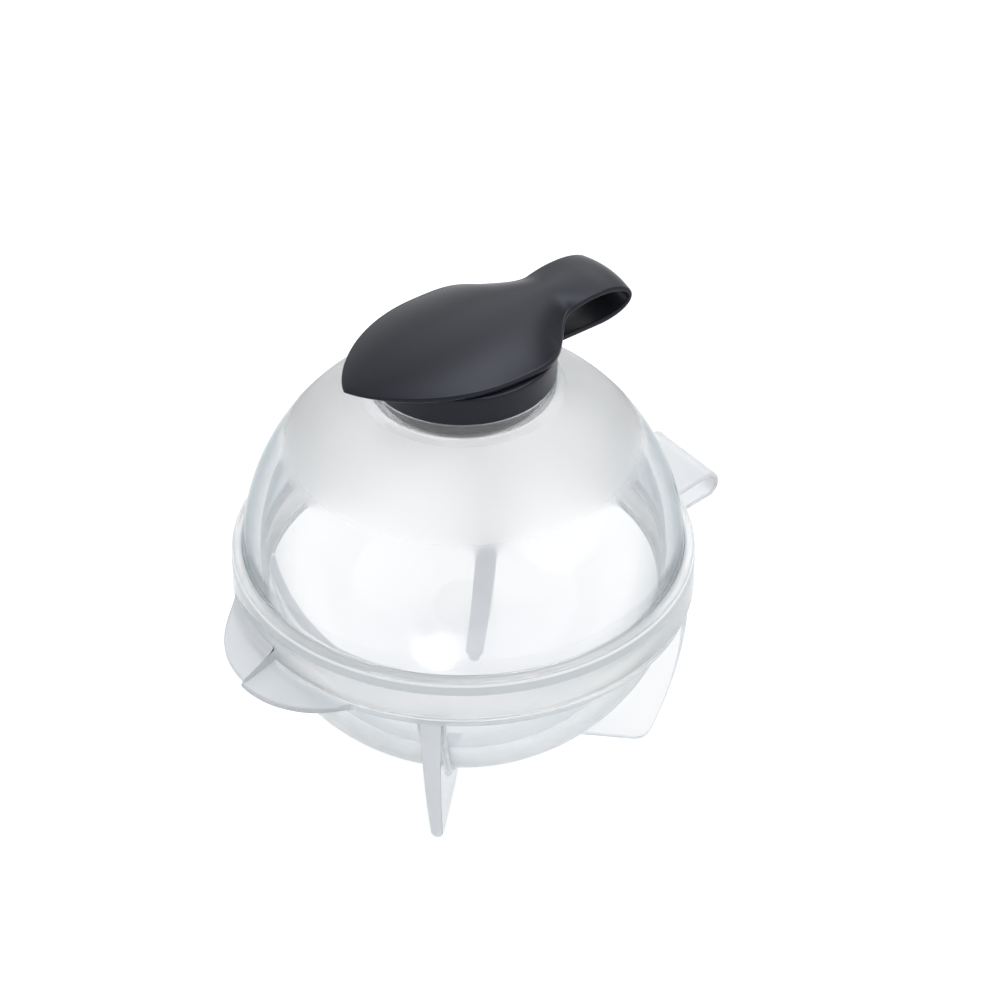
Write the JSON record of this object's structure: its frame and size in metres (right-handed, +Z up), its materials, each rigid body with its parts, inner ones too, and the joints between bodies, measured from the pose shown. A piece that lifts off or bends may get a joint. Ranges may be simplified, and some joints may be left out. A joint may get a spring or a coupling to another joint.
{
  "type": "ice ball mold",
  "caption": "Clear round ice mold in two halves on a strap hinge, with fin feet, split lift tabs, a filler neck and a black soft stopper with a leaf-shaped grip and pull loop.",
  "frame": {"origin": "On the table, at the middle of the part's bounding box. The ball's upright axis stands 1.85 mm towards the lift tabs from it, at Y = -1.85 mm.", "axes": "+Z up out of the table, -Y towards the lift tabs at the front, +Y towards the strap hinge at the back, +X to the right."},
  "size_m": [0.0724, 0.0876, 0.0786],
  "materials": {
    "clear_plastic": "polished, clear",
    "milky_plastic": "satin, faintly milky",
    "black_silicone": "matt with a soft sheen"
  },
  "bodies": {
    "lower_half": {"bowl_shell": "clear_plastic", "rim_ledge": "clear_plastic", "lift_tab_lower": "milky_plastic", "foot_fin_front_right": "milky_plastic", "foot_fin_front_left": "milky_plastic", "foot_fin_back_right": "milky_plastic", "foot_fin_back_left": "milky_plastic", "hinge_strap": "milky_plastic"},
    "upper_half": {"dome_shell": "clear_plastic", "filler_neck": "clear_plastic", "rim_skirt": "clear_plastic", "lift_tab_upper": "milky_plastic"},
    "stopper": {"stopper_plug": "black_silicone", "stopper_leaf": "black_silicone", "pull_loop": "black_silicone"}
  },
  "joints": [
    {"name": "top_hinge", "type": "hinge", "parent": "lower_half", "child": "upper_half", "pos_m": [0, 0.04145, 0.0322], "axis": [-1, 0, 0], "range_deg": [0, 120], "deforming": ["hinge_strap"]},
    {"name": "stopper_pull", "type": "slide", "parent": "upper_half", "child": "stopper", "axis": [0, 0, 1], "range_m": [0, 0.02]}
  ]
}
